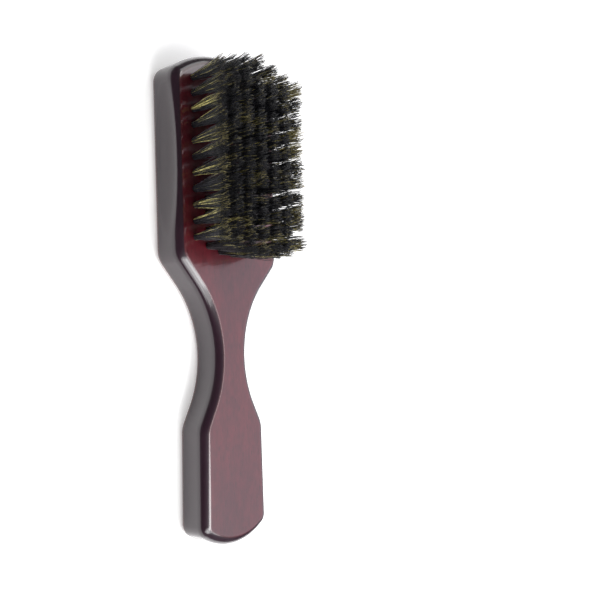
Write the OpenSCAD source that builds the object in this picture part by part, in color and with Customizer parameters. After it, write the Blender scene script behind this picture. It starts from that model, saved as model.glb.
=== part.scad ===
// Fade brush: one piece of wood with a handle, a neck and a flat oval-ended head,
// and wire-anchored bristle tufts set in blind holes in the head.
// It lies on its back: +Z is the way the bristles stand, +Y runs from the handle to the head,
// and the origin is on the back, at the middle of the length.

/* [Wood body] */
// Overall length from the handle end to the head end
overall_l = 180; // [176:1:184]
// Thickness of the wood
body_t = 12.7; // [12:0.1:14]
// Width of the head near its top end
head_w = 54.1; // [53.6:0.1:55]
// Width of the head at its lower corners
head_low_w = 52.3; // [51:0.1:52.8]
// Width of the neck at its narrowest
neck_w = 15.8; // [15:0.2:18]
// Width of the handle at its upper corners
handle_top_w = 32.4; // [31:0.2:32.8]
// Width of the handle near its bottom end
handle_w = 33.4; // [33:0.2:35]
// Radius of the rounding where the walls meet the bristle face
front_round = 3.5; // [2:0.1:4]
// Radius of the rounding where the walls meet the back
back_round = 2.5; // [2:0.1:3.5]

/* [Finger grooves] */
// Length of the groove along the side of the head
groove_l = 53; // [40:0.5:54]
// Height of the groove across the thickness
groove_h = 11.8; // [9:0.2:12]
// Depth of the groove at its middle
groove_depth = 1.5; // [1:0.1:2]

/* [Bristles] */
// Height of the bristles above the wood
bristle_h = 18; // [14:0.5:20]
// Distance between the lengthwise columns of tufts
column_pitch = 6; // [5.6:0.1:6.2]
// Radius of a tuft where it leaves the wood
tuft_root_r = 1.1; // [0.9:0.05:1.1]
// Radius of a tuft at its tip
tuft_tip_r = 2.6; // [2:0.1:2.8]
// Radius of the drilled tuft holes
hole_r = 1.15; // [1.15:0.05:1.3]
// Depth of the drilled tuft holes
hole_depth = 7; // [6:0.5:9]

/* [Tuft anchors] */
// Thickness of the flat anchor wire
anchor_t = 0.35; // [0.25:0.05:0.4]
// Height of the flat anchor wire
anchor_h = 1.4; // [1:0.1:1.8]

/* [Foil ornament] */
// Overall length of the stamped ornament across the head
foil_w = 26; // [22:0.5:30]
// Thickness of the foil layer
foil_t = 0.15; // [0.1:0.05:0.2]
// Depth of the stamped recess under the foil
stamp_depth = 0.25; // [0.25:0.05:0.4]

/* [Hidden] */
node_courses = 12;
function two_digits(n) = str(n < 10 ? "0" : "", n);

$fn = 48;
eps = 0.01;
// Places along the length, measured from the middle of the brush
end_y = overall_l / 2;
head_low_y = 13.1;
neck_y = -21.9;
handle_top_y = -47.3;
// Radii of the outline
head_end_r = 40;
head_corner_r = 6.5;
head_low_corner_r = 7.7;
neck_r = 38.4;
handle_top_corner_r = 10;
handle_corner_r = 5;
handle_end_r = 25;
// Angle at which each end's arc runs into its corners
head_end_slope = 33.9;
handle_end_slope = 31.8;
// Largest turn between two points of a rounding, in degrees
outline_step = 7;
rounding_steps = 4;

groove_y = 45.4;
groove_z = 8.6;
// Turn of the groove cutter, a little more than the groove itself takes
groove_sweep = 28;

// The bristle field: columns counted from the middle, tufts counted from the neck
side_columns = 3;
field_low_y = 15.7;
field_high_y = 82.6;
// How much later the outermost columns start and how much sooner they end
field_arch = 4.6;
field_mid_y = (field_low_y + field_high_y) / 2;
// Lean of the outermost tufts, in degrees, sideways and along the brush
side_lean = 8;
end_lean = 1.5;
tuft_tip_round = 0.8;
// Height of the tuft's straight foot above the wood
foot_h = 0.7;
// Height at which the flare starts round the foot, and how far it bulges past it there
flare_start = 0.35;
flare_bulge = 0.15;
anchor_bottom = 0.9;
anchor_slack = 0.02;

foil_y = 62;
foil_line = 0.8;
// Sizes of the ornament's pieces, as shares of its length
ring_rise = 0.5;
star_reach = 0.26;
star_waist = 0.07;
diamond_reach = 0.09;
diamond_rise = 0.06;
diamond_place = 0.25;
bar_reach = 0.6;
bar_place = 0.25;
// Width of the ring measured across its points, and thickness of the bars, in foil lines
ring_lines = 4.5;
bar_lines = 1.2;
// Extra gap between the ring and each bar
bar_gap = 3;

// Angle of the tangent from point p to the circle of centre c and radius r, on one side or the other
function tangent_angle(p, c, r, side) =
    atan2(c.y - p.y, c.x - p.x) + side * asin(r / norm(c - p));

// Point where the line through p at angle a meets the line through q at angle b
function line_meet(p, a, q, b) =
    p + [cos(a), sin(a)] * ((q.x - p.x) * sin(b) - (q.y - p.y) * cos(b)) / sin(b - a);

// Corners of the right half of the outline from the head end to the handle end: [x, y, radius]
neck_centre = [neck_w / 2 + neck_r, neck_y];
head_low = [head_low_w / 2, head_low_y];
handle_top = [handle_top_w / 2, handle_top_y];
neck_corner = line_meet(
    head_low, tangent_angle(head_low, neck_centre, neck_r, -1),
    handle_top, tangent_angle(handle_top, neck_centre, neck_r, 1)
);
head_apex_y = end_y + head_end_r * (1 / cos(head_end_slope) - 1);
handle_apex_y = -end_y - handle_end_r * (1 / cos(handle_end_slope) - 1);
half_outline = [
    [head_w / 2, head_apex_y - head_w / 2 * tan(head_end_slope), head_corner_r],
    [head_low.x, head_low.y, head_low_corner_r],
    [neck_corner.x, neck_corner.y, neck_r],
    [handle_top.x, handle_top.y, handle_top_corner_r],
    [handle_w / 2, handle_apex_y + handle_w / 2 * tan(handle_end_slope), handle_corner_r]
];
outline = concat(
    [[0, head_apex_y, head_end_r]],
    half_outline,
    [[0, handle_apex_y, handle_end_r]],
    [for (i = [len(half_outline) - 1 : -1 : 0]) [-half_outline[i].x, half_outline[i].y, half_outline[i].z]]
);

// Signed turn from direction a to direction b, positive to the left
function turn(a, b) = atan2(a.x * b.y - a.y * b.x, a.x * b.x + a.y * b.y);
function plane(p) = [p.x, p.y];
function direction(a, b) = (plane(b) - plane(a)) / norm(plane(b) - plane(a));

// Points of one rounded corner, each [x, y, outward x, outward y]; the outline runs clockwise
function rounded_corner(before, corner, after) =
    let (
        along = direction(before, corner),
        bend = turn(along, direction(corner, after)),
        left = [-along.y, along.x],
        reach = corner.z * tan(abs(bend) / 2),
        centre = plane(corner) - along * reach + left * sign(bend) * corner.z,
        steps = 2 * ceil(abs(bend) / outline_step / 2),
        start = atan2(left.y, left.x)
    )
    [
        for (i = [0 : steps])
            let (a = start + bend * i / steps, out = [cos(a), sin(a)])
            [
                centre.x - sign(bend) * out.x * corner.z,
                centre.y - sign(bend) * out.y * corner.z,
                out.x,
                out.y
            ]
    ];

rim = [
    for (i = [0 : len(outline) - 1])
        each rounded_corner(
            outline[(i + len(outline) - 1) % len(outline)],
            outline[i],
            outline[(i + 1) % len(outline)]
        )
];

// Section of the edge from the back up to the bristle face: [inset from the wall, height]
edge_section = concat(
    [
        for (i = [0 : rounding_steps])
            let (a = 90 * i / rounding_steps)
            [back_round * (1 - sin(a)), back_round * (1 - cos(a))]
    ],
    [
        for (i = [0 : rounding_steps])
            let (a = 90 * i / rounding_steps)
            [front_round * (1 - cos(a)), body_t - front_round * (1 - sin(a))]
    ]
);

// Steps in the head end's arc, which the rim starts with, and the rim point that mirrors point i
head_arc_steps = len(rounded_corner(outline[len(outline) - 1], outline[0], outline[1])) - 1;
function mirrored(i) = (head_arc_steps - i + 2 * len(rim)) % len(rim);

// The faces of one flat side: strips across the brush, from the head end to the handle end
function strips(first) =
    let (n = len(rim), top = head_arc_steps / 2, bottom = top + n / 2)
    [
        for (i = [top : bottom - 1])
            let (j = (i + 1) % n, near = mirrored(i), far = mirrored(j))
            [for (p = concat([i % n, j], far == j ? [] : [far], near == i ? [] : [near])) first + p]
    ];
function flipped(face) = [for (i = [len(face) - 1 : -1 : 0]) face[i]];

// The rounded slab: one ring of points for each step of the edge section
module slab() {
    n = len(rim);
    rings = len(edge_section);
    polyhedron(
        points = [
            for (e = edge_section)
                for (p = rim)
                    [p[0] - p[2] * e[0], p[1] - p[3] * e[0], e[1]]
        ],
        faces = concat(
            strips(0),
            [
                for (k = [0 : rings - 2])
                    for (i = [0 : n - 1])
                        let (j = (i + 1) % n)
                        [k * n + i, (k + 1) * n + i, (k + 1) * n + j, k * n + j]
            ],
            [for (face = strips((rings - 1) * n)) flipped(face)]
        ),
        convexity = 4
    );
}

// Half width of the straight side of the head at height y
function head_side(y) =
    let (a = half_outline[0], b = half_outline[1])
    b.x + (a.x - b.x) * (y - b.y) / (a.y - b.y);

// The cutter of one finger groove: a slice of a wide ring whose inner skin dips into the wall
module groove_cutter() {
    section_r = (pow(groove_h / 2, 2) + pow(groove_depth, 2)) / (2 * groove_depth);
    sweep_r = (pow(groove_l / 2, 2) + pow(groove_depth, 2)) / (2 * groove_depth);
    translate([head_side(groove_y) - groove_depth + sweep_r, groove_y, groove_z])
        rotate([0, 0, 180 - groove_sweep / 2])
        rotate_extrude(angle = groove_sweep, $fn = 360)
        translate([sweep_r - section_r, 0])
        circle(r = section_r);
}

// Tufts in one lengthwise column, counted from the middle column
function column_count(c) = abs(c) == side_columns ? node_courses - 1 : node_courses;

// Place of tuft k of column c on the bristle face
function tuft_place(c, k) =
    let (
        inset = field_arch * pow(c / side_columns, 2),
        low = field_low_y + inset,
        high = field_high_y - inset
    )
    [c * column_pitch, low + (high - low) * k / (column_count(c) - 1)];

// Runs its children at each tuft of one course, with the tuft's place in $place
module at_course(course) {
    for (c = [-side_columns : side_columns])
        if (course <= column_count(c)) {
            $place = tuft_place(c, course - 1);
            translate([$place.x, $place.y, 0]) children();
        }
}

module tuft_hole() {
    translate([0, 0, body_t - hole_depth])
        cylinder(r = hole_r, h = hole_depth + 1);
}

// The flat wire that pins the fold of a tuft at the bottom of its hole
module anchor_wire(length, thickness) {
    translate([-length / 2, -thickness / 2, body_t - hole_depth + anchor_bottom])
        cube([length, thickness, anchor_h]);
}

// One bundle of bristles: a straight root in the hole and a flare that leans outwards
module tuft() {
    spread_x = side_lean * $place.x / (side_columns * column_pitch);
    spread_y = end_lean * ($place.y - field_mid_y) / (field_high_y - field_mid_y);
    flare_h = bristle_h - flare_start;
    difference() {
        translate([0, 0, body_t - hole_depth + eps])
            cylinder(r = tuft_root_r, h = hole_depth + foot_h);
        anchor_wire(2 * hole_r + 1, anchor_t + 2 * anchor_slack);
    }
    translate([0, 0, body_t + flare_start])
        rotate([-spread_y, spread_x, 0])
        rotate_extrude()
        polygon([
            [0, 0],
            [tuft_root_r + flare_bulge, 0],
            [tuft_tip_r, flare_h - tuft_tip_round],
            [tuft_tip_r - tuft_tip_round, flare_h],
            [0, flare_h]
        ]);
}

// Foil shapes, drawn flat and centred on the ornament
module foil_at(x = 0, y = 0) {
    translate([x, foil_y + y, 0]) children();
}

module lozenge(w, h) {
    polygon([[w / 2, 0], [0, h / 2], [-w / 2, 0], [0, -h / 2]]);
}

module foil_ring_shape() {
    foil_at() difference() {
        lozenge(foil_w, foil_w * ring_rise);
        lozenge(foil_w - ring_lines * foil_line, (foil_w - ring_lines * foil_line) * ring_rise);
    }
}

module foil_star_shape() {
    foil_at() {
        lozenge(foil_w * star_reach, foil_w * star_waist);
        lozenge(foil_w * star_waist, foil_w * star_reach);
    }
}

module foil_diamonds_shape() {
    for (side = [-1, 1])
        foil_at(side * foil_w * diamond_place)
            lozenge(foil_w * diamond_reach, foil_w * diamond_rise);
}

module foil_bar_shape(side) {
    foil_at(0, side * (foil_w * bar_place + bar_gap))
        lozenge(foil_w * bar_reach, foil_line * bar_lines);
}

// Turns a flat foil shape into the layer of foil at the bottom of its recess
module foil_layer() {
    translate([0, 0, stamp_depth - foil_t])
        linear_extrude(foil_t) children();
}

module stamped_recess() {
    translate([0, 0, -1])
        linear_extrude(1 + stamp_depth) children();
}

module wood_body() {
    color("#4a1512") difference() {
        slab();
        for (course = [1 : node_courses]) at_course(course) tuft_hole();
        groove_cutter();
        mirror([1, 0, 0]) groove_cutter();
        stamped_recess() foil_ring_shape();
        stamped_recess() foil_star_shape();
        stamped_recess() foil_diamonds_shape();
        stamped_recess() foil_bar_shape(1);
        stamped_recess() foil_bar_shape(-1);
    }
}

module tuft_course(course) {
    color("#2c2924") at_course(course) tuft();
}

module anchor_course(course) {
    color("#b9b4a6") at_course(course)
        anchor_wire(2 * sqrt(pow(hole_r, 2) - pow(anchor_t / 2, 2)) - 2 * anchor_slack, anchor_t);
}

module foil_ring() {
    color("#c9a048") foil_layer() foil_ring_shape();
}

module foil_centre_star() {
    color("#c9a048") foil_layer() foil_star_shape();
}

module foil_side_diamonds() {
    color("#c9a048") foil_layer() foil_diamonds_shape();
}

module foil_bar(side) {
    color("#c9a048") foil_layer() foil_bar_shape(side);
}

wood_body();
for (i = [1 : node_courses])
    tuft_course(i);
for (i = [1 : node_courses])
    anchor_course(i);
foil_ring();
foil_centre_star();
foil_side_diamonds();
foil_bar(1);  // foil_upper_bar
foil_bar(-1);  // foil_lower_bar
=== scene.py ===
from math import asin, atan2, ceil, cos, pi, radians, sin, sqrt, tan

import bmesh
import bpy
import numpy as np
from mathutils import Matrix, Vector
from mathutils.geometry import delaunay_2d_cdt


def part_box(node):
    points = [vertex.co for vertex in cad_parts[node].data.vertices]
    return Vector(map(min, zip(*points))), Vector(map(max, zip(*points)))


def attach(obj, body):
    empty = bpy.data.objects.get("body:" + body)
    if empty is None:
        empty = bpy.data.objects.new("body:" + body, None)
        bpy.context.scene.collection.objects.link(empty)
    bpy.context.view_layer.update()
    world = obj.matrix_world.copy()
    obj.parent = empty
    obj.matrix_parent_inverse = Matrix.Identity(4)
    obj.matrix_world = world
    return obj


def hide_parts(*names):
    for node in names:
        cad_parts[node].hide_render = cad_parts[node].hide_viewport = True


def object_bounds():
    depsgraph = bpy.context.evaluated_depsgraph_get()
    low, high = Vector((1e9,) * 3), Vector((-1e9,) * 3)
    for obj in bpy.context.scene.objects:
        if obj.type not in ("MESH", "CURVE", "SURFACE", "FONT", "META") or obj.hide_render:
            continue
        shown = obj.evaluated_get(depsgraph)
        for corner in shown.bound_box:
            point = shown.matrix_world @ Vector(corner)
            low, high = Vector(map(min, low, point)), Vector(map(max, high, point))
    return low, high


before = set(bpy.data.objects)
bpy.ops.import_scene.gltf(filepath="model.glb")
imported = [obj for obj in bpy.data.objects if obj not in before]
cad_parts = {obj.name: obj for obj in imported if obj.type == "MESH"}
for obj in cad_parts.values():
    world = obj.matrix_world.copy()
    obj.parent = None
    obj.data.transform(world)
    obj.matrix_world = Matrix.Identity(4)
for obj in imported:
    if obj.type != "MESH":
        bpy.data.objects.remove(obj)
cad_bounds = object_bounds()


# ---------------------------------------------------------------- Sawn outline of the board
# The brush is sawn from one half-inch board of close-grained hardwood. A spindle moulder runs
# round the blank and gives it this outline: an arched head end, a narrow neck and a short handle.

MM = 0.001
board_low, board_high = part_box("wood_body")
LENGTH = board_high.y - board_low.y
THICKNESS = board_high.z - board_low.z
HEAD_W = 54.1 * MM
HEAD_LOW_W = 52.3 * MM
NECK_W = 15.8 * MM
HANDLE_TOP_W = 32.4 * MM
HANDLE_W = 33.4 * MM
HEAD_LOW_Y = 13.1 * MM
NECK_Y = -21.9 * MM
HANDLE_TOP_Y = -47.3 * MM
HEAD_END_R = 40 * MM
HEAD_END_SLOPE = radians(33.9)
HANDLE_END_R = 25 * MM
HANDLE_END_SLOPE = radians(31.8)
NECK_R = 38.4 * MM
HEAD_CORNER_R = 6.5 * MM
HEAD_LOW_CORNER_R = 7.7 * MM
HANDLE_TOP_CORNER_R = 10 * MM
HANDLE_CORNER_R = 5 * MM
CORNER_STEPS = 4


def tangent_angle(point, centre, radius, side):
    """Direction from a point along the tangent to a circle, on one side or the other."""
    gap = centre - point
    return atan2(gap.y, gap.x) + side * asin(radius / gap.length)


def line_meet(p, a, q, b):
    """Point where the line through p at angle a meets the line through q at angle b."""
    gap = q - p
    return p + Vector((cos(a), sin(a))) * (gap.x * sin(b) - gap.y * cos(b)) / sin(b - a)


def outline_corners():
    """Corners of the outline with their radii, clockwise from the middle of the head end."""
    head_apex = LENGTH / 2 + HEAD_END_R * (1 / cos(HEAD_END_SLOPE) - 1)
    handle_apex = -LENGTH / 2 - HANDLE_END_R * (1 / cos(HANDLE_END_SLOPE) - 1)
    head_low = Vector((HEAD_LOW_W / 2, HEAD_LOW_Y))
    handle_top = Vector((HANDLE_TOP_W / 2, HANDLE_TOP_Y))
    centre = Vector((NECK_W / 2 + NECK_R, NECK_Y))
    neck = line_meet(
        head_low, tangent_angle(head_low, centre, NECK_R, -1),
        handle_top, tangent_angle(handle_top, centre, NECK_R, 1),
    )
    half = [
        (Vector((HEAD_W / 2, head_apex - HEAD_W / 2 * tan(HEAD_END_SLOPE))), HEAD_CORNER_R),
        (head_low, HEAD_LOW_CORNER_R),
        (neck, NECK_R),
        (handle_top, HANDLE_TOP_CORNER_R),
        (Vector((HANDLE_W / 2, handle_apex + HANDLE_W / 2 * tan(HANDLE_END_SLOPE))), HANDLE_CORNER_R),
    ]
    mirrored = [(Vector((-p.x, p.y)), r) for p, r in reversed(half)]
    head_end = (Vector((0, head_apex)), HEAD_END_R)
    handle_end = (Vector((0, handle_apex)), HANDLE_END_R)
    return [head_end] + half + [handle_end] + mirrored


def board_rim(spacing):
    """Points of the outline with their outward directions, clockwise, no further apart than spacing."""
    corners = outline_corners()
    rim = []
    for i, (corner, radius) in enumerate(corners):
        before = corners[i - 1][0]
        after = corners[(i + 1) % len(corners)][0]
        along = (corner - before).normalized()
        onward = (after - corner).normalized()
        bend = atan2(along.x * onward.y - along.y * onward.x, along.dot(onward))
        side = 1 if bend > 0 else -1
        left = Vector((-along.y, along.x))
        centre = corner - along * radius * tan(abs(bend) / 2) + left * side * radius
        steps = 2 * max(CORNER_STEPS, ceil(abs(bend) * radius / spacing / 2))
        start = atan2(left.y, left.x)
        for k in range(steps + 1):
            out = Vector((cos(start + bend * k / steps), sin(start + bend * k / steps)))
            rim.append((centre - out * side * radius, out))
    spaced = []
    for i, (point, out) in enumerate(rim):
        following, next_out = rim[(i + 1) % len(rim)]
        parts = max(1, ceil((following - point).length / spacing))
        for k in range(parts):
            share = k / parts
            spaced.append((point.lerp(following, share), out.lerp(next_out, share).normalized()))
    return spaced


# ---------------------------------------------------------------- Wood body
# The moulded blank gets a quarter-round along both faces and a long finger groove in each side
# of the head, then the tuft holes are drilled blind and the ornament's recess is stamped.

FRONT_ROUND = 3.5 * MM
BACK_ROUND = 2.5 * MM
FRONT_ROUND_STEPS = 11
BACK_ROUND_STEPS = 9
FLAT_MARGIN = 0.5 * MM
WALL_ROW = 0.36 * MM
RIM_SPACING = 0.45 * MM
WELD = 0.002 * MM
SHARP_EDGE = radians(40)
GROOVE_L = 53 * MM
GROOVE_H = 11.8 * MM
GROOVE_DEPTH = 1.5 * MM
GROOVE_Y = 45.4 * MM
GROOVE_Z = 8.6 * MM
GROOVE_SOFTNESS = 0.35 * MM
GROOVE_NEAR_Y = GROOVE_L * 0.56
GROOVE_NEAR_X = HEAD_LOW_W * 0.4
HOLE_R = 1.15 * MM
HOLE_DEPTH = 7 * MM
HOLE_SIDES = 20
STAMP_DEPTH = 0.25 * MM
FOIL_W = 26 * MM
FOIL_Y = 62 * MM
FOIL_LINE = 0.8 * MM
RING_H = FOIL_W * 0.5
RING_LINE_X = 4.5 * FOIL_LINE
RING_LINE_Y = 2.25 * FOIL_LINE
STAR_W = FOIL_W * 0.26
STAR_WAIST = FOIL_W * 0.07
SMALL_DIAMOND = (FOIL_W * 0.09, FOIL_W * 0.06)
SMALL_DIAMOND_X = FOIL_W * 0.25
BAR = (FOIL_W * 0.6, FOIL_LINE * 1.2)
BAR_Y = FOIL_W * 0.25 + 3 * MM
COURSES = 12
SIDE_COLUMNS = 3
COLUMN_PITCH = 6 * MM
FIELD_LOW_Y = 15.7 * MM
FIELD_HIGH_Y = 82.6 * MM
FIELD_ARCH = 4.6 * MM


def tuft_places():
    """Places of the tufts on the bristle face, as {course: [(x, y), ...]}."""
    places = {course: [] for course in range(1, COURSES + 1)}
    for column in range(-SIDE_COLUMNS, SIDE_COLUMNS + 1):
        count = COURSES - 1 if abs(column) == SIDE_COLUMNS else COURSES
        inset = FIELD_ARCH * (column / SIDE_COLUMNS) ** 2
        run = FIELD_HIGH_Y - FIELD_LOW_Y - 2 * inset
        for k in range(count):
            place = (column * COLUMN_PITCH, FIELD_LOW_Y + inset + run * k / (count - 1))
            places[k + 1].append(place)
    return places


def edge_section():
    """Section of the board's edge from the back up to the bristle face: (inset, height) pairs."""
    section = [(BACK_ROUND + FLAT_MARGIN, 0.0)]
    for k in range(BACK_ROUND_STEPS + 1):
        a = pi / 2 * k / BACK_ROUND_STEPS
        section.append((BACK_ROUND * (1 - sin(a)), BACK_ROUND * (1 - cos(a))))
    low, high = BACK_ROUND, THICKNESS - FRONT_ROUND
    wall_steps = ceil((high - low) / WALL_ROW)
    for k in range(1, wall_steps):
        section.append((0.0, low + (high - low) * k / wall_steps))
    for k in range(FRONT_ROUND_STEPS + 1):
        a = pi / 2 * k / FRONT_ROUND_STEPS
        section.append((FRONT_ROUND * (1 - cos(a)), THICKNESS - FRONT_ROUND * (1 - sin(a))))
    section.append((FRONT_ROUND + FLAT_MARGIN, THICKNESS))
    return section


def groove_skin(y, z):
    """How far from the middle of the head the groove's ground surface lies at (y, z)."""
    lower = HEAD_LOW_W / 2
    upper = outline_corners()[1][0]
    rise = (upper.x - lower) / (upper.y - HEAD_LOW_Y)
    wall = lower + rise * (GROOVE_Y - HEAD_LOW_Y)
    section_r = ((GROOVE_H / 2) ** 2 + GROOVE_DEPTH**2) / (2 * GROOVE_DEPTH)
    sweep_r = ((GROOVE_L / 2) ** 2 + GROOVE_DEPTH**2) / (2 * GROOVE_DEPTH)
    across = np.clip(section_r**2 - (z - GROOVE_Z) ** 2, 0, None)
    reach = sweep_r - section_r + np.sqrt(across)
    return wall - GROOVE_DEPTH + sweep_r - np.sqrt(np.clip(reach**2 - (y - GROOVE_Y) ** 2, 0, None))


def grind_grooves(points):
    """Pulls the side walls of the head in to the groove, with a slightly softened brim."""
    x, y, z = points.T
    near = (np.abs(y - GROOVE_Y) < GROOVE_NEAR_Y) & (np.abs(x) > GROOVE_NEAR_X)
    skin = groove_skin(y[near], z[near])
    side = np.abs(x[near])
    share = np.clip(0.5 + 0.5 * (skin - side) / GROOVE_SOFTNESS, 0, 1)
    ground = skin * (1 - share) + side * share - GROOVE_SOFTNESS * share * (1 - share)
    ground = np.minimum(ground, side)
    x[near] = np.sign(x[near]) * ground
    return points


def lozenge(w, h, x=0.0, y=0.0):
    """Corners of a diamond on the back of the head, with its middle at x, y from the ornament's."""
    middle = FOIL_Y + y
    return [(x + w / 2, middle), (x, middle + h / 2), (x - w / 2, middle), (x, middle - h / 2)]


def star(w, waist):
    """Corners of a four-pointed star made of two crossed diamonds."""
    cross = w * waist / 2 / (w + waist)
    points = []
    for k in range(4):
        a = k * pi / 2
        points.append((w / 2 * cos(a), FOIL_Y + w / 2 * sin(a)))
        b = a + pi / 4
        points.append((cross * sqrt(2) * cos(b), FOIL_Y + cross * sqrt(2) * sin(b)))
    return points


def inside(point, loop):
    """True if the point lies inside the loop of corners."""
    x, y = point
    found = False
    for (ax, ay), (bx, by) in zip(loop, loop[1:] + loop[:1]):
        if (ay > y) != (by > y) and x < (bx - ax) * (y - ay) / (by - ay) + ax:
            found = not found
    return found


def flat_side(rim_points, loops, sunk):
    """Triangles that fill the rim, as (points, faces that stay flat, faces that sunk() says are cut)."""
    coords = [Vector(p) for p in rim_points]
    edges = [(i, (i + 1) % len(coords)) for i in range(len(coords))]
    for loop in loops:
        first = len(coords)
        coords += [Vector(p) for p in loop]
        edges += [(first + i, first + (i + 1) % len(loop)) for i in range(len(loop))]
    found = delaunay_2d_cdt(coords, edges, [], 1, 1e-7)
    points, faces = found[0], found[2]
    middles = [sum((points[i] for i in f), Vector((0, 0))) / len(f) for f in faces]
    cut = [sunk(m) for m in middles]
    kept = [f for f, c in zip(faces, cut) if not c]
    lost = [f for f, c in zip(faces, cut) if c]
    return points, kept, lost


def hole_mouth(x, y):
    """Points round the mouth of a tuft hole."""
    turns = [2 * pi * k / HOLE_SIDES for k in range(HOLE_SIDES)]
    return [(x + HOLE_R * cos(a), y + HOLE_R * sin(a)) for a in turns]


def pocket(points, faces, level, floor, upward):
    """Walls and floor of the pockets whose lids are the given faces, as (points, faces)."""
    used = sorted({i for f in faces for i in f})
    place = {i: k for k, i in enumerate(used)}
    coords = [(points[i].x, points[i].y, z) for z in (level, floor) for i in used]
    n = len(used)
    floors = [[place[i] + n for i in (f if upward else f[::-1])] for f in faces]
    sides = {(a, b) for f in faces for a, b in zip(f, f[1:] + f[:1])}
    walls = []
    for a, b in sides:
        if (b, a) not in sides:
            quad = [place[a], place[b], place[b] + n, place[a] + n]
            walls.append(quad if upward else quad[::-1])
    return coords, floors + sorted(walls)


def board_mesh():
    """The finished board, with its holes and recess, as a mesh in metres."""
    rim = board_rim(RIM_SPACING)
    section = edge_section()
    base = np.array([p for p, _ in rim])
    out = np.array([o for _, o in rim])
    n = len(rim)
    rings = [np.column_stack([base - out * inset, np.full(n, height)]) for inset, height in section]
    points = grind_grooves(np.vstack(rings))
    faces = []
    for k in range(len(section) - 1):
        low = k * n
        faces += [[low + i, low + n + i, low + n + (i + 1) % n, low + (i + 1) % n] for i in range(n)]
    vertices = points.tolist()

    def add(coords, new_faces):
        first = len(vertices)
        vertices.extend(coords)
        faces.extend([[first + i for i in f] for f in new_faces])

    holes = [place for course in tuft_places().values() for place in course]

    def drilled(m):
        return any((m.x - x) ** 2 + (m.y - y) ** 2 < HOLE_R**2 for x, y in holes)

    mouths = [hole_mouth(x, y) for x, y in holes]
    flat, kept, lost = flat_side(rings[-1][:, :2].tolist(), mouths, drilled)
    add([(p.x, p.y, THICKNESS) for p in flat], kept)
    add(*pocket(flat, lost, THICKNESS, THICKNESS - HOLE_DEPTH, True))

    ring_outer = lozenge(FOIL_W, RING_H)
    ring_inner = lozenge(FOIL_W - RING_LINE_X, RING_H - RING_LINE_Y)
    marks = [star(STAR_W, STAR_WAIST)]
    marks += [lozenge(*SMALL_DIAMOND, side * SMALL_DIAMOND_X) for side in (-1, 1)]
    marks += [lozenge(*BAR, 0, side * BAR_Y) for side in (-1, 1)]

    def stamped(m):
        in_ring = inside(m, ring_outer) and not inside(m, ring_inner)
        return in_ring or any(inside(m, loop) for loop in marks)

    stamps = [ring_outer, ring_inner] + marks
    flat, kept, lost = flat_side(rings[0][:, :2].tolist(), stamps, stamped)
    add([(p.x, p.y, 0) for p in flat], [f[::-1] for f in kept])
    add(*pocket(flat, lost, 0, STAMP_DEPTH, False))

    mesh = bpy.data.meshes.new("board")
    mesh.from_pydata(vertices, [], faces)
    return mesh


def finish_mesh(mesh):
    """Welds doubled points, makes the faces smooth and marks the sharp edges."""
    bm = bmesh.new()
    bm.from_mesh(mesh)
    bmesh.ops.remove_doubles(bm, verts=bm.verts, dist=WELD)
    bmesh.ops.recalc_face_normals(bm, faces=bm.faces)
    for face in bm.faces:
        face.smooth = True
    for edge in bm.edges:
        edge.smooth = len(edge.link_faces) != 2 or edge.calc_face_angle(0) < SHARP_EDGE
    bm.to_mesh(mesh)
    bm.free()
    mesh.update()


def bare_finish(name):
    """A material with nothing in it but its surface shader and its output."""
    material = bpy.data.materials.new(name)
    material.use_nodes = True
    tree = material.node_tree
    tree.nodes.clear()
    output = tree.nodes.new("ShaderNodeOutputMaterial")
    surface = tree.nodes.new("ShaderNodeBsdfPrincipled")
    tree.links.new(surface.outputs["BSDF"], output.inputs["Surface"])
    return material, tree, surface


def finish_step(tree, kind, label, inputs=None, **settings):
    """One labelled step of a finish, whose inputs are values or the results of other steps."""
    made = tree.nodes.new(kind)
    made.label = label
    for key, value in settings.items():
        setattr(made, key, value)
    for key, value in (inputs or {}).items():
        if isinstance(value, bpy.types.NodeSocket):
            tree.links.new(value, made.inputs[key])
        else:
            made.inputs[key].default_value = value
    return made


def shades(tree, label, factor, stops):
    """A run of shades through the given (position, colour) stops: its two ends, then any between."""
    made = finish_step(tree, "ShaderNodeValToRGB", label, {"Fac": factor})
    elements = made.color_ramp.elements
    for element, (position, colour) in zip(elements, stops):
        element.position = position
        element.color = (*colour, 1)
    for position, colour in stops[2:]:
        elements.new(position).color = (*colour, 1)
    return made.outputs["Color"]


def pattern(tree, label, per_metre, detail, roughness=0.5, start=(0, 0, 0), distortion=0.0):
    """An uneven pattern with so many waves per metre along x, y and z, so that it can follow the grain."""
    where = finish_step(tree, "ShaderNodeTexCoord", label + " place")
    scaled = finish_step(
        tree, "ShaderNodeMapping", label + " scale",
        {"Vector": where.outputs["Object"], "Scale": per_metre, "Location": start},
    )
    made = finish_step(
        tree, "ShaderNodeTexNoise", label,
        {"Vector": scaled.outputs["Vector"], "Scale": 1, "Detail": detail, "Roughness": roughness,
         "Distortion": distortion},
    )
    return made.outputs["Fac"]


def laid_over(tree, label, share, under, over, blend="MIX"):
    """One colour laid over another by a share or a mask."""
    made = finish_step(
        tree, "ShaderNodeMix", label, {"Factor": share, "A": under, "B": over},
        data_type="RGBA", blend_type=blend,
    )
    return made.outputs["Result"]


def graded(tree, label, value, low, high, at_low=0.0, at_high=1.0, soft=False):
    """A value that goes from at_low to at_high while the given one goes from low to high."""
    made = finish_step(
        tree, "ShaderNodeMapRange", label,
        {"Value": value, "From Min": low, "From Max": high, "To Min": at_low, "To Max": at_high},
        interpolation_type="SMOOTHSTEP" if soft else "LINEAR",
    )
    return made.outputs["Result"]


def worked(tree, label, operation, *values):
    """The result of one sum on the given values."""
    made = finish_step(tree, "ShaderNodeMath", label, dict(enumerate(values)), operation=operation)
    return made.outputs[0]


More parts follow.
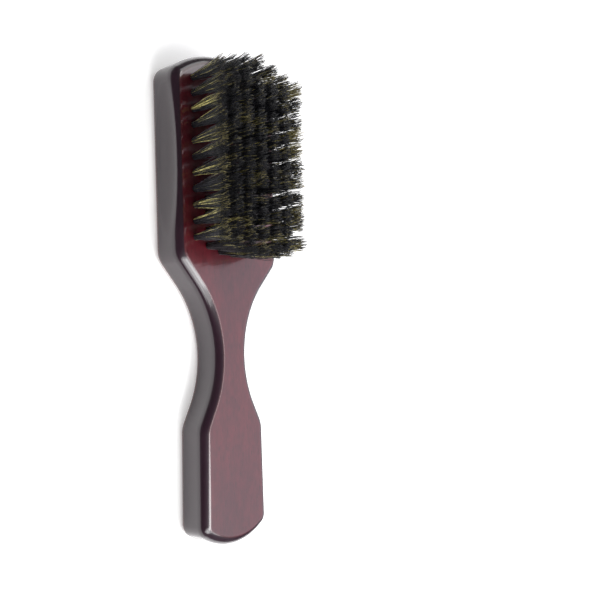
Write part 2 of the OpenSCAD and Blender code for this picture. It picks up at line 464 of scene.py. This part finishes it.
def uneven(tree, height, surface, distance, strength):
    """Raises and sinks the surface by the given height pattern."""
    made = finish_step(
        tree, "ShaderNodeBump", "relief", {"Height": height, "Distance": distance, "Strength": strength},
    )
    tree.links.new(made.outputs["Normal"], surface.inputs["Normal"])


STAIN = [
    (0.25, (0.063, 0.0046, 0.0100)),
    (0.75, (0.087, 0.0066, 0.0124)),
    (0.50, (0.074, 0.0055, 0.0108)),
]
FIBRE_SHADES = [(0.32, (0.91, 0.90, 0.90)), (0.68, (1.06, 1.07, 1.06))]
MOTTLE_SHADES = [(0.3, (0.84, 0.84, 0.84)), (0.7, (1.2, 1.16, 1.14))]
CLOUD_SHADES = [(0.33, (0.76, 0.80, 0.86)), (0.67, (1.22, 1.16, 1.06))]
PORE_COLOUR = (0.012, 0.002, 0.003, 1)
PORES_FROM = 0.69
PORES_FULL = 0.78
PORES_SHARE = 0.5
STREAK_COLOUR = (0.018, 0.004, 0.006, 1)
STREAK_SWING = 12 * MM
STREAK_X = -9.8 * MM
STREAK_CORE = 0.3 * MM
STREAK_HALF_W = 1.7 * MM
STREAK_SHARE = 0.75
STREAK_FROM_Y = -28 * MM
STREAK_FULL_Y = -45 * MM
STREAK_FULL_Z = THICKNESS * 0.25
STREAK_GONE_Z = THICKNESS * 0.5
# Painted shade: a darker colour laid on the side walls and the rounded edges of the bristle face, by how
# far the surface tilts.
EDGE_SHADE_COLOUR = (0.013, 0.0020, 0.0092, 1)
EDGE_SHADE_SHARE = 0.95
EDGE_SHADE_FULL_TILT = 0.945
EDGE_SHADE_NO_TILT = 0.9999
EDGE_SHADE_FROM_Z = THICKNESS * 0.05
EDGE_SHADE_FULL_Z = THICKNESS * 0.22
LACQUER_RELIEF = 0.06 * MM


def cherry_stain(tree, fibres):
    """Cherry stain over straight fine grain: broad figure, fibres, mottle, uneven stain and pores."""
    figure = pattern(tree, "broad figure", (95, 9, 95), 3, distortion=0.6)
    colour = shades(tree, "stain", figure, STAIN)
    layers = (
        ("fibre shade", fibres, FIBRE_SHADES),
        ("mottle shade", pattern(tree, "mottle", (520, 260, 520), 2, 0.6, (1, 4, 2)), MOTTLE_SHADES),
        ("uneven stain", pattern(tree, "clouds", (34, 17, 20), 2, 0.5, (2, 3, 5)), CLOUD_SHADES),
    )
    for label, factor, stops in layers:
        colour = laid_over(tree, label, 1.0, colour, shades(tree, label, factor, stops), "MULTIPLY")
    pores = pattern(tree, "pores", (3400, 300, 3400), 0, start=(3, 1, 7))
    pore_mask = graded(tree, "pore mask", pores, PORES_FROM, PORES_FULL, 0, PORES_SHARE)
    return laid_over(tree, "dark pores", pore_mask, colour, PORE_COLOUR)


def mineral_streak(tree, place):
    """Mask of one dark vein that wanders down the back of the handle."""
    wander = pattern(tree, "streak wander", (0, 28, 0), 2)
    path = worked(tree, "streak path", "MULTIPLY_ADD", wander, STREAK_SWING, STREAK_X)
    aside = worked(tree, "off the streak", "SUBTRACT", place["X"], path)
    gap = worked(tree, "streak gap", "ABSOLUTE", aside)
    narrow = graded(tree, "streak width", gap, STREAK_CORE, STREAK_HALF_W, STREAK_SHARE, 0, soft=True)
    reach = graded(tree, "streak reach", place["Y"], STREAK_FROM_Y, STREAK_FULL_Y)
    from_back = graded(tree, "streak depth", place["Z"], STREAK_FULL_Z, STREAK_GONE_Z, 1, 0)
    run = worked(tree, "streak run", "MULTIPLY", narrow, reach)
    return worked(tree, "streak mask", "MULTIPLY", run, from_back)


def painted_edge_shade(tree, where, place):
    """Mask of the painted shade on the sides and round the bristle face, by how far they tilt, clear of the
    back.
    """
    facing = finish_step(tree, "ShaderNodeSeparateXYZ", "facing axes", {"Vector": where["Normal"]})
    flatness = worked(tree, "flatness", "ABSOLUTE", facing.outputs["Z"])
    edge = graded(tree, "edge", flatness, EDGE_SHADE_FULL_TILT, EDGE_SHADE_NO_TILT, EDGE_SHADE_SHARE, 0, soft=True)
    off_back = graded(tree, "clear of the back", place["Z"], EDGE_SHADE_FROM_Z, EDGE_SHADE_FULL_Z)
    return worked(tree, "edge_shade_mask", "MULTIPLY", edge, off_back)


def lacquered_wood():
    """Dark cherry stain over fine straight grain, under a thick clear gloss lacquer, with painted shade on
    the sides.
    """
    material, tree, surface = bare_finish("dark_cherry_lacquer")
    where = finish_step(tree, "ShaderNodeTexCoord", "where").outputs
    place = finish_step(tree, "ShaderNodeSeparateXYZ", "place", {"Vector": where["Object"]}).outputs
    fibres = pattern(tree, "fibres", (1500, 55, 1500), 2, 0.6)
    colour = cherry_stain(tree, fibres)
    colour = laid_over(tree, "mineral streak", mineral_streak(tree, place), colour, STREAK_COLOUR)
    # Painted shade laid on the sides and rounded edges of the bristle face.
    edge_shade_mask = painted_edge_shade(tree, where, place)
    colour = laid_over(tree, "darker painted_shade_on edges", edge_shade_mask, colour, EDGE_SHADE_COLOUR)
    tree.links.new(colour, surface.inputs["Base Color"])
    rubbing = pattern(tree, "rubbing marks", (60, 30, 60), 4, 0.65, (5, 2, 1))
    roughness = graded(tree, "lacquer roughness", rubbing, 0.3, 0.7, 0.32, 0.42)
    tree.links.new(roughness, surface.inputs["Roughness"])
    surface.inputs["IOR"].default_value = 1.5
    surface.inputs["Specular IOR Level"].default_value = 0.3
    surface.inputs["Coat Weight"].default_value = 1.0
    surface.inputs["Coat Roughness"].default_value = 0.09
    surface.inputs["Coat IOR"].default_value = 1.5
    flow = pattern(tree, "lacquer flow", (180, 90, 180), 1, start=(2, 8, 3))
    height = worked(tree, "grain under lacquer", "MULTIPLY_ADD", fibres, 0.06, flow)
    uneven(tree, height, surface, LACQUER_RELIEF, 0.8)
    return material


board = board_mesh()
finish_mesh(board)
scene = bpy.context.scene
wood_board = bpy.data.objects.new("wood_board", board)
scene.collection.objects.link(wood_board)
board.materials.append(lacquered_wood())
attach(wood_board, "root")
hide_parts("wood_body")


# ---------------------------------------------------------------- Tuft anchors
# Short clips of flat drawn steel wire. Each one pins the fold of a tuft to the bottom of its
# hole, where its ends bite into the wood, so none of them shows on a whole brush.

WIRE_DARK = (0.42, 0.40, 0.37)
WIRE_BRIGHT = (0.62, 0.60, 0.56)


def drawn_wire():
    """Bare steel wire with fine lines along the way it was drawn."""
    material, tree, surface = bare_finish("drawn_flat_wire")
    lines = pattern(tree, "draw lines", (400, 6000, 9000), 3)
    tint = shades(tree, "steel tint", lines, [(0.3, WIRE_DARK), (0.7, WIRE_BRIGHT)])
    tree.links.new(tint, surface.inputs["Base Color"])
    roughness = graded(tree, "line roughness", lines, 0, 1, 0.25, 0.45)
    tree.links.new(roughness, surface.inputs["Roughness"])
    surface.inputs["Metallic"].default_value = 1.0
    return material


wire_finish = drawn_wire()
for course in range(1, COURSES + 1):
    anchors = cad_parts[f"anchor_course_{course:02d}"]
    anchors.data.materials.clear()
    anchors.data.materials.append(wire_finish)


# ---------------------------------------------------------------- Bristle tufts
# About a hundred stiff bristles are folded round each anchor, so they leave the hole as a tight
# bundle and fan out to ragged tips. Black bristles are mixed with blond ones, tuft by tuft.

BRISTLE_H = cad_bounds[1][2] - THICKNESS
STRANDS = 112
STRAND_R = 0.095 * MM
TIP_TAPER = 0.35
ROOT_R = 0.98 * MM
ROOT_DEPTH = 1.2 * MM
TIP_R = 3.4 * MM
TIP_R_SPREAD = (0.8, 1.08)
ACROSS = 0.76
SIDE_LEAN = radians(8)
END_LEAN = radians(1.5)
LEAN_NOISE_X = 0.013
LEAN_NOISE_Y = 0.03
TRIM_UNEVEN = 1.1 * MM
CROWN = 0.25 * MM
WANDER = 0.26 * MM
STRAY_SHARE = 0.03
STRAY_WANDER = 4.8
BOW = 0.55 * MM
STRAIGHT_FLARE = 0.78
CURVED_FLARE = 0.22
FIELD_MID_Y = (FIELD_LOW_Y + FIELD_HIGH_Y) / 2
STRAND_STEPS = 6
RING = 4


def tuft_strands(x, y, rng):
    """Paths of one tuft's bristles: an array of strands, each a row of points from root to tip."""
    angle = rng.uniform(0, 2 * pi, STRANDS)
    spread = np.sqrt(rng.uniform(0, 1, STRANDS))
    lean_x = SIDE_LEAN * x / (SIDE_COLUMNS * COLUMN_PITCH) + rng.normal(0, LEAN_NOISE_X)
    along = (y - FIELD_MID_Y) / (FIELD_HIGH_Y - FIELD_MID_Y)
    lean_y = END_LEAN * along + rng.normal(0, LEAN_NOISE_Y)
    height = BRISTLE_H - rng.uniform(0, 1, STRANDS) ** 2 * TRIM_UNEVEN - CROWN * spread
    root = np.stack([ROOT_R * spread * np.cos(angle), ROOT_R * spread * np.sin(angle)], 1)
    wander = rng.normal(0, WANDER, (STRANDS, 2))
    stray = rng.uniform(0, 1, STRANDS) < STRAY_SHARE
    wander[stray] *= STRAY_WANDER
    fan = TIP_R * spread * rng.uniform(*TIP_R_SPREAD, STRANDS)
    tip = np.stack([ACROSS * fan * np.cos(angle), fan * np.sin(angle)], 1) + wander
    tip += BRISTLE_H * np.array([tan(lean_x), tan(lean_y)])
    bow = rng.normal(0, BOW, (STRANDS, 2))
    share = np.linspace(0, 1, STRAND_STEPS + 1)
    flare = (STRAIGHT_FLARE * share + CURVED_FLARE * share**2)[None, :, None]
    path = root[:, None] * (1 - flare) + tip[:, None] * flare
    path = path + bow[:, None] * (share * (1 - share) * 4 * share)[None, :, None]
    climb = height[:, None] * share[None] + THICKNESS - ROOT_DEPTH * (1 - share[None])
    return np.concatenate([path + np.array([x, y]), climb[..., None]], 2)


def strand_mesh(name, paths):
    """One mesh of thin tapered bristles along the given paths."""
    count, steps, _ = paths.shape
    share = np.linspace(0, 1, steps)
    radius = STRAND_R * (1 - TIP_TAPER * share**3)
    ring = np.arange(RING) * 2 * pi / RING
    corner = np.stack([np.cos(ring), np.sin(ring), np.zeros(RING)], 1)
    points = paths[:, :, None] + radius[None, :, None, None] * corner[None, None]
    points = points.reshape(-1, 3)
    quads = []
    for k in range(steps - 1):
        for j in range(RING):
            low, high = k * RING, (k + 1) * RING
            quads.append([low + j, low + (j + 1) % RING, high + (j + 1) % RING, high + j])
    quads.append([(steps - 1) * RING + j for j in range(RING)])
    faces = (np.arange(count)[:, None, None] * steps * RING + np.array(quads)[None]).reshape(-1, 4)
    mesh = bpy.data.meshes.new(name)
    mesh.from_pydata(points.tolist(), [], faces.tolist())
    mesh.shade_smooth()
    return mesh


# Painted light and shade: the lower shafts are painted lighter and the tips darker than the bristles' own
# colour.
PAINTED_LIGHT_UP_TO = THICKNESS + BRISTLE_H * 0.62
PAINTED_SHADE_FROM = THICKNESS + BRISTLE_H * 0.9
STRAND_SHADES = [(0.32, (0.35, 0.35, 0.35)), (0.68, (1.7, 1.7, 1.7))]
BLACK_SHAFT_PAINTED_LIGHT = (0.0340, 0.0350, 0.0420)
BLACK_TIP_PAINTED_SHADE = (0.0080, 0.0080, 0.0100)
BLOND_SHAFT_PAINTED_LIGHT = (0.78, 0.69, 0.27)
BLOND_TIP_PAINTED_SHADE = (0.18, 0.155, 0.070)
SCALE_RELIEF = 0.02 * MM


def bristle_tone_and_painted_light_group():
    """Node group: painted light on a bristle's lower shaft, painted shade on its tip, varied strand by
    strand.
    """
    group = bpy.data.node_groups.new("bristle_tone_and_painted_light", "ShaderNodeTree")
    for name in ("Shaft Color", "Tip Color"):
        socket = group.interface.new_socket(name, in_out="INPUT", socket_type="NodeSocketColor")
        socket.default_value = (0, 0, 0, 1)
    group.interface.new_socket("Color", in_out="OUTPUT", socket_type="NodeSocketColor")
    group.interface.new_socket("Height", in_out="OUTPUT", socket_type="NodeSocketFloat")
    given = group.nodes.new("NodeGroupInput")
    result = group.nodes.new("NodeGroupOutput")
    where = finish_step(group, "ShaderNodeTexCoord", "where").outputs["Object"]
    place = finish_step(group, "ShaderNodeSeparateXYZ", "place", {"Vector": where}).outputs
    # Painted light on the shaft gives way to painted shade towards the tip.
    share = graded(group, "towards the tip", place["Z"], PAINTED_LIGHT_UP_TO, PAINTED_SHADE_FROM)
    vary = pattern(group, "strand to strand", (2600, 2600, 240), 1)
    shade = shades(group, "strand shade", vary, STRAND_SHADES)
    along = laid_over(group, "root to tip", share, given.outputs["Shaft Color"], given.outputs["Tip Color"])
    varied = laid_over(group, "varied", 1.0, along, shade, "MULTIPLY")
    group.links.new(varied, result.inputs["Color"])
    group.links.new(vary, result.inputs["Height"])
    return group


def bristle_material(name, shaft, tip, roughness):
    """Bristle of one colour, with painted light on its shaft and painted shade at its tip: a smooth horny
    shaft with fine scales.
    """
    material, tree, surface = bare_finish(name)
    shaded = finish_step(tree, "ShaderNodeGroup", "bristle shade", node_tree=bristle_tone_and_painted_light)
    shaded.inputs["Shaft Color"].default_value = (*shaft, 1)
    shaded.inputs["Tip Color"].default_value = (*tip, 1)
    tree.links.new(shaded.outputs["Color"], surface.inputs["Base Color"])
    uneven(tree, shaded.outputs["Height"], surface, SCALE_RELIEF, 0.5)
    surface.inputs["Roughness"].default_value = roughness
    return material


bristle_tone_and_painted_light = bristle_tone_and_painted_light_group()
BRISTLES = {
    "black": bristle_material("black_bristle", BLACK_SHAFT_PAINTED_LIGHT, BLACK_TIP_PAINTED_SHADE, 0.28),
    "blond": bristle_material("blond_bristle", BLOND_SHAFT_PAINTED_LIGHT, BLOND_TIP_PAINTED_SHADE, 0.32),
}
BLOND_SHARES = [0.03, 0.08, 0.18]
BLOND_ODDS = [0.4, 0.4, 0.2]
OUTER_COLUMN_BLOND = 3.8
BLOND_MIXING = 3.0 * MM


def add_course(course, places):
    """The black and the blond bristles of one course of tufts across the head."""
    rng = np.random.default_rng(100 + course)
    sorted_paths = {"black": [], "blond": []}
    for x, y in places:
        paths = tuft_strands(x, y, rng)
        outermost = abs(x) > (SIDE_COLUMNS - 0.5) * COLUMN_PITCH
        blond_share = rng.choice(BLOND_SHARES, p=BLOND_ODDS) * (OUTER_COLUMN_BLOND if outermost else 1)
        tilt = rng.uniform(0, 2 * pi)
        side = (paths[:, -1, 0] - x) * cos(tilt) + (paths[:, -1, 1] - y) * sin(tilt)
        rank = np.argsort(np.argsort(side + rng.normal(0, BLOND_MIXING, STRANDS)))
        blond = rank < blond_share * STRANDS
        sorted_paths["blond"].append(paths[blond])
        sorted_paths["black"].append(paths[~blond])
    for colour, paths in sorted_paths.items():
        name = f"{colour}_bristles_{course:02d}"
        strands = bpy.data.objects.new(name, strand_mesh(name, np.concatenate(paths)))
        scene.collection.objects.link(strands)
        strands.data.materials.append(BRISTLES[colour])
        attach(strands, "root")
        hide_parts(f"tuft_course_{course:02d}")


for course, places in tuft_places().items():
    add_course(course, places)


# ---------------------------------------------------------------- Foil ornament
# A generic diamond ornament hot-stamped in gold foil on the back of the head: the heated die
# presses the foil into a shallow recess, which leaves it slightly uneven and thin at its edges.

FOIL_SHADES = [
    (0.28, (0.50, 0.30, 0.095)),
    (0.72, (0.86, 0.62, 0.27)),
    (0.50, (0.72, 0.48, 0.18)),
]
FOIL_RELIEF = 0.04 * MM


def gold_foil():
    """Hot-stamped gold foil, mottled by the grain under it."""
    material, tree, surface = bare_finish("stamped_gold_foil")
    mottle = pattern(tree, "grain under foil", (900, 160, 900), 4, 0.6)
    tree.links.new(shades(tree, "foil tint", mottle, FOIL_SHADES), surface.inputs["Base Color"])
    roughness = graded(tree, "foil roughness", mottle, 0, 1, 0.30, 0.55)
    tree.links.new(roughness, surface.inputs["Roughness"])
    surface.inputs["Metallic"].default_value = 0.85
    uneven(tree, mottle, surface, FOIL_RELIEF, 0.7)
    return material


foil_finish = gold_foil()
for name in ("foil_ring", "foil_centre_star", "foil_side_diamonds", "foil_upper_bar", "foil_lower_bar"):
    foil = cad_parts[name]
    foil.data.materials.clear()
    foil.data.materials.append(foil_finish)


# ---------------------------------------------------------------- Studio
# The brush lies on its back on a pale table. A broad softbox on its right whitens the face, a
# strip overhead draws the line along the edge, three lamps past the handle light the neck and
# one past the head lights its end. The room on the other side is dim.

TABLE_HALF = 6.0
TABLE_DROP = 0.05 * MM
TABLE_SHADES = [(0.3, (0.86, 0.86, 0.85)), (0.7, (0.90, 0.90, 0.895))]
TABLE_GLOW = 0.44
NECK_LAMP_LINE = (0.865, 0.492, 0.1)
ROOM_COLOUR = (0.95, 0.97, 1.0, 1)
ROOM_STRENGTH = 0.14
BACKDROP_COLOUR = (0.93, 0.93, 0.925, 1)


def pale_table():
    """Matt near-white laminate with a faint unevenness, lit a little from within."""
    material, tree, surface = bare_finish("pale_table_top")
    mottle = pattern(tree, "table mottle", (12, 12, 12), 3)
    tree.links.new(shades(tree, "table tint", mottle, TABLE_SHADES), surface.inputs["Base Color"])
    surface.inputs["Roughness"].default_value = 0.75
    surface.inputs["Emission Color"].default_value = (1, 1, 0.995, 1)
    surface.inputs["Emission Strength"].default_value = TABLE_GLOW
    return material


def facing(place, target, line):
    """Placement at a point, turned to face the target, with its width along the given line."""
    away = (place - target).normalized()
    upright = away.cross(Vector(line)).normalized()
    turned = Matrix((upright.cross(away), upright, away)).transposed().to_4x4()
    return Matrix.Translation(place) @ turned


def softbox(name, direction, distance, size, radiance, tint=(1.0, 1.0, 1.0), line=(0.0, 1.0, 0.0)):
    """A rectangular lamp of even brightness that faces the brush and isn't seen by the camera."""
    width, height = size
    lamp = bpy.data.lights.new(name, "AREA")
    lamp.shape = "RECTANGLE"
    lamp.size = width
    lamp.size_y = height
    lamp.energy = radiance * pi * width * height
    lamp.color = tint
    stand = bpy.data.objects.new(name, lamp)
    scene.collection.objects.link(stand)
    stand.matrix_world = facing(Vector(direction).normalized() * distance, Vector(), line)
    stand.visible_camera = False


def dim_room():
    """A dim room round the table, with a pale backdrop where the camera sees past it."""
    room = bpy.data.worlds.new("room")
    room.use_nodes = True
    tree = room.node_tree
    dim_walls = tree.nodes["Background"]
    dim_walls.inputs["Color"].default_value = ROOM_COLOUR
    dim_walls.inputs["Strength"].default_value = ROOM_STRENGTH
    backdrop = finish_step(tree, "ShaderNodeBackground", "pale backdrop", {"Color": BACKDROP_COLOUR})
    seen = finish_step(tree, "ShaderNodeLightPath", "seen directly").outputs["Is Camera Ray"]
    parts = {0: seen, 1: dim_walls.outputs[0], 2: backdrop.outputs[0]}
    walls = finish_step(tree, "ShaderNodeMixShader", "walls", parts)
    tree.links.new(walls.outputs[0], tree.nodes["World Output"].inputs["Surface"])
    return room


table_corners = [(x * TABLE_HALF, y * TABLE_HALF, 0) for x, y in ((-1, -1), (1, -1), (1, 1), (-1, 1))]
table_mesh = bpy.data.meshes.new("table_top")
table_mesh.from_pydata(table_corners, [], [(0, 1, 2, 3)])
table_mesh.materials.append(pale_table())
table_top = bpy.data.objects.new("table_top", table_mesh)
table_top.location.z = -TABLE_DROP
scene.collection.objects.link(table_top)

softbox("side_softbox", (0.80, 0.00, 0.60), 0.9, (0.95, 0.80), 1.26, tint=(0.97, 0.95, 1.06))
softbox("edge_strip", (0.46, 0.05, 0.88), 0.9, (1.20, 0.09), 5.0)
softbox("neck_softbox", (0.08, -0.58, 0.81), 0.8, (0.74, 0.52), 4.2, line=NECK_LAMP_LINE)
softbox("neck_core", (0.265, -0.365, 0.89), 0.8, (0.50, 0.20), 8.0, line=(0.78, 0.62, 0.03))
softbox("neck_side", (-0.25, -0.72, 0.65), 0.8, (0.50, 0.30), 3.5, line=NECK_LAMP_LINE)
softbox("head_softbox", (0.42, 0.62, 0.66), 0.9, (0.45, 0.35), 2.6)
scene.world = dim_room()


# ---------------------------------------------------------------- Camera
# It looks down on the bristle side from the left of the brush, with the head at the top.

CAMERA_PLACE = Vector((-213.33, -21.35, 217.74)) * MM
CAMERA_AIM = Vector((55.06, 1.27, 0)) * MM
CAMERA_LINE = (0.6312, -0.0281, 0.7751)

camera = bpy.data.cameras.new("camera")
camera.sensor_width = 36
camera.lens = 48
camera.clip_start = 0.01
viewpoint = bpy.data.objects.new("camera", camera)
scene.collection.objects.link(viewpoint)
viewpoint.matrix_world = facing(CAMERA_PLACE, CAMERA_AIM, CAMERA_LINE)
scene.camera = viewpoint
scene.view_settings.view_transform = "Standard"
